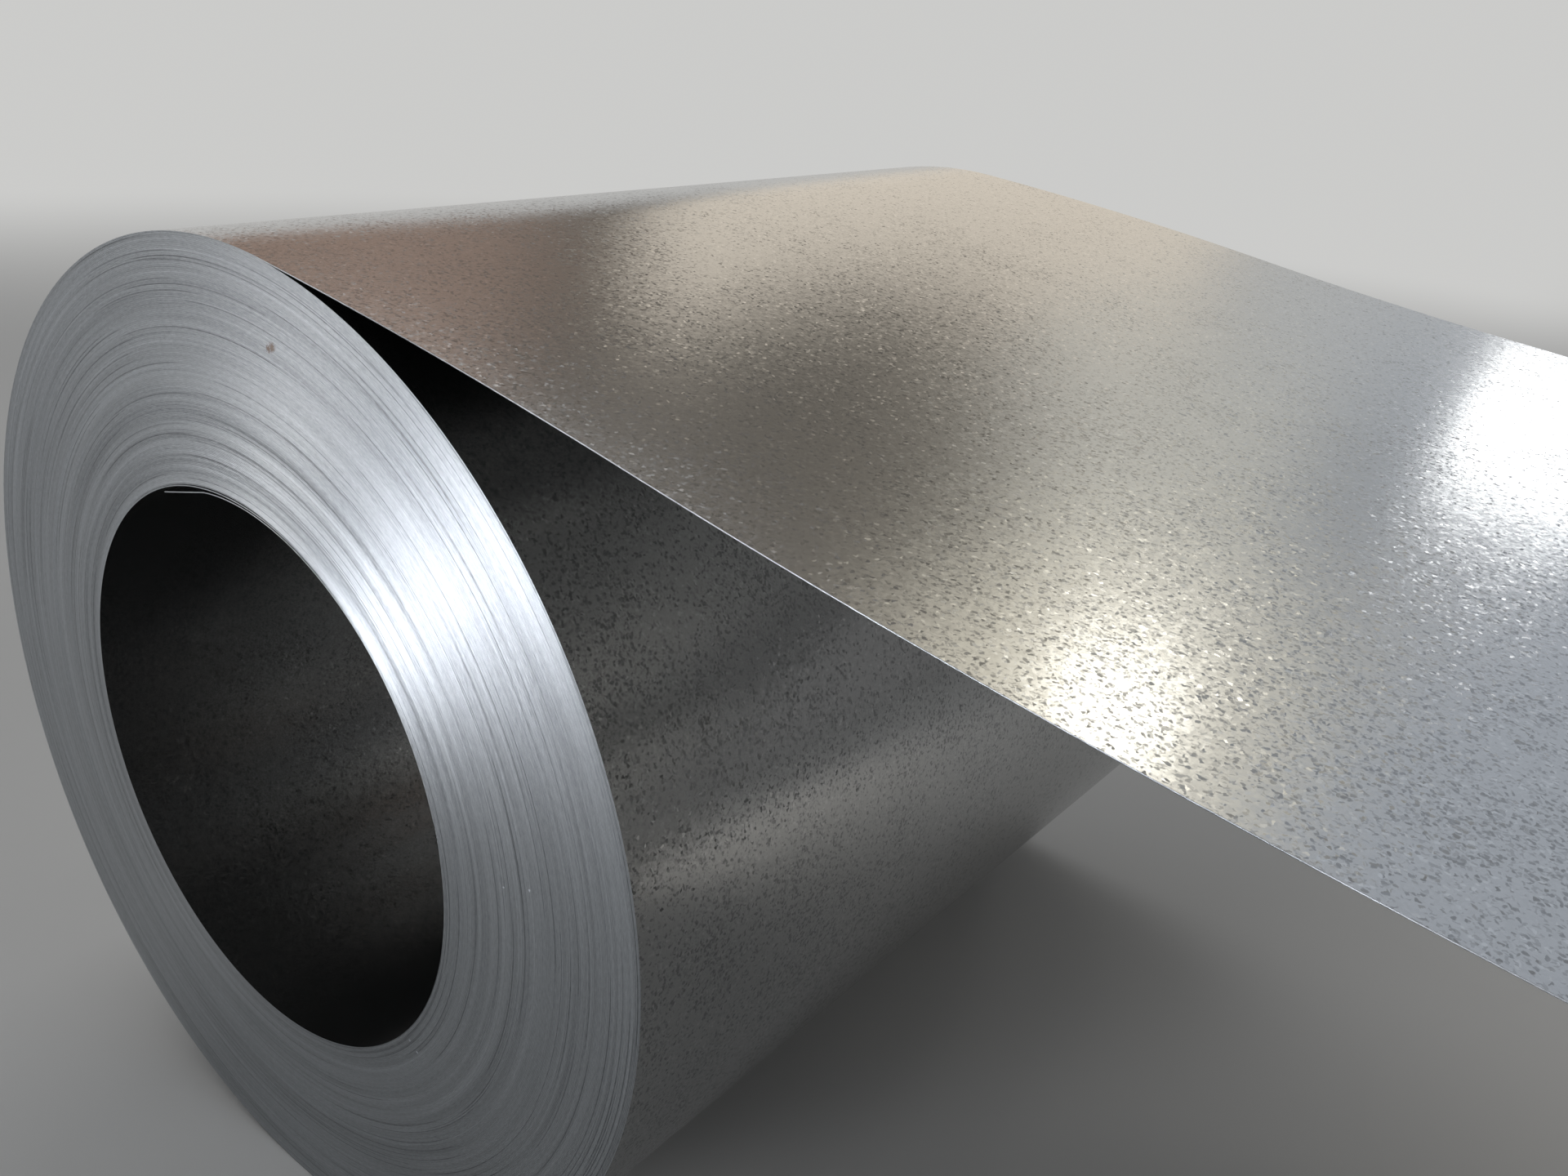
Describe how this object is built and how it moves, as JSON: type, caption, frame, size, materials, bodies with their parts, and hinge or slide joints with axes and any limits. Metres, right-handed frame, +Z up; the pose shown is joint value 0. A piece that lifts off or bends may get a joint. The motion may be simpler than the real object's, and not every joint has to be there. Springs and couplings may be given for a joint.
{
  "type": "steel coil",
  "caption": "Coil of galvanised steel strip lying on its side with an open bore, its leading end paid off the top and laid down on the floor.",
  "frame": {"origin": "on the coil's axis at the middle of its width", "axes": "+Y along the coil's axis, +X the way the strip leaves the top of the coil, +Z up"},
  "size_m": [3.496, 1.26, 1.0917],
  "materials": {
    "galvanised_steel": "satin zinc coating with small spangle on the strip's faces, bare sheared edges on the coil's ends"
  },
  "bodies": {
    "root": {"steel_coil": "galvanised_steel"}
  },
  "joints": []
}
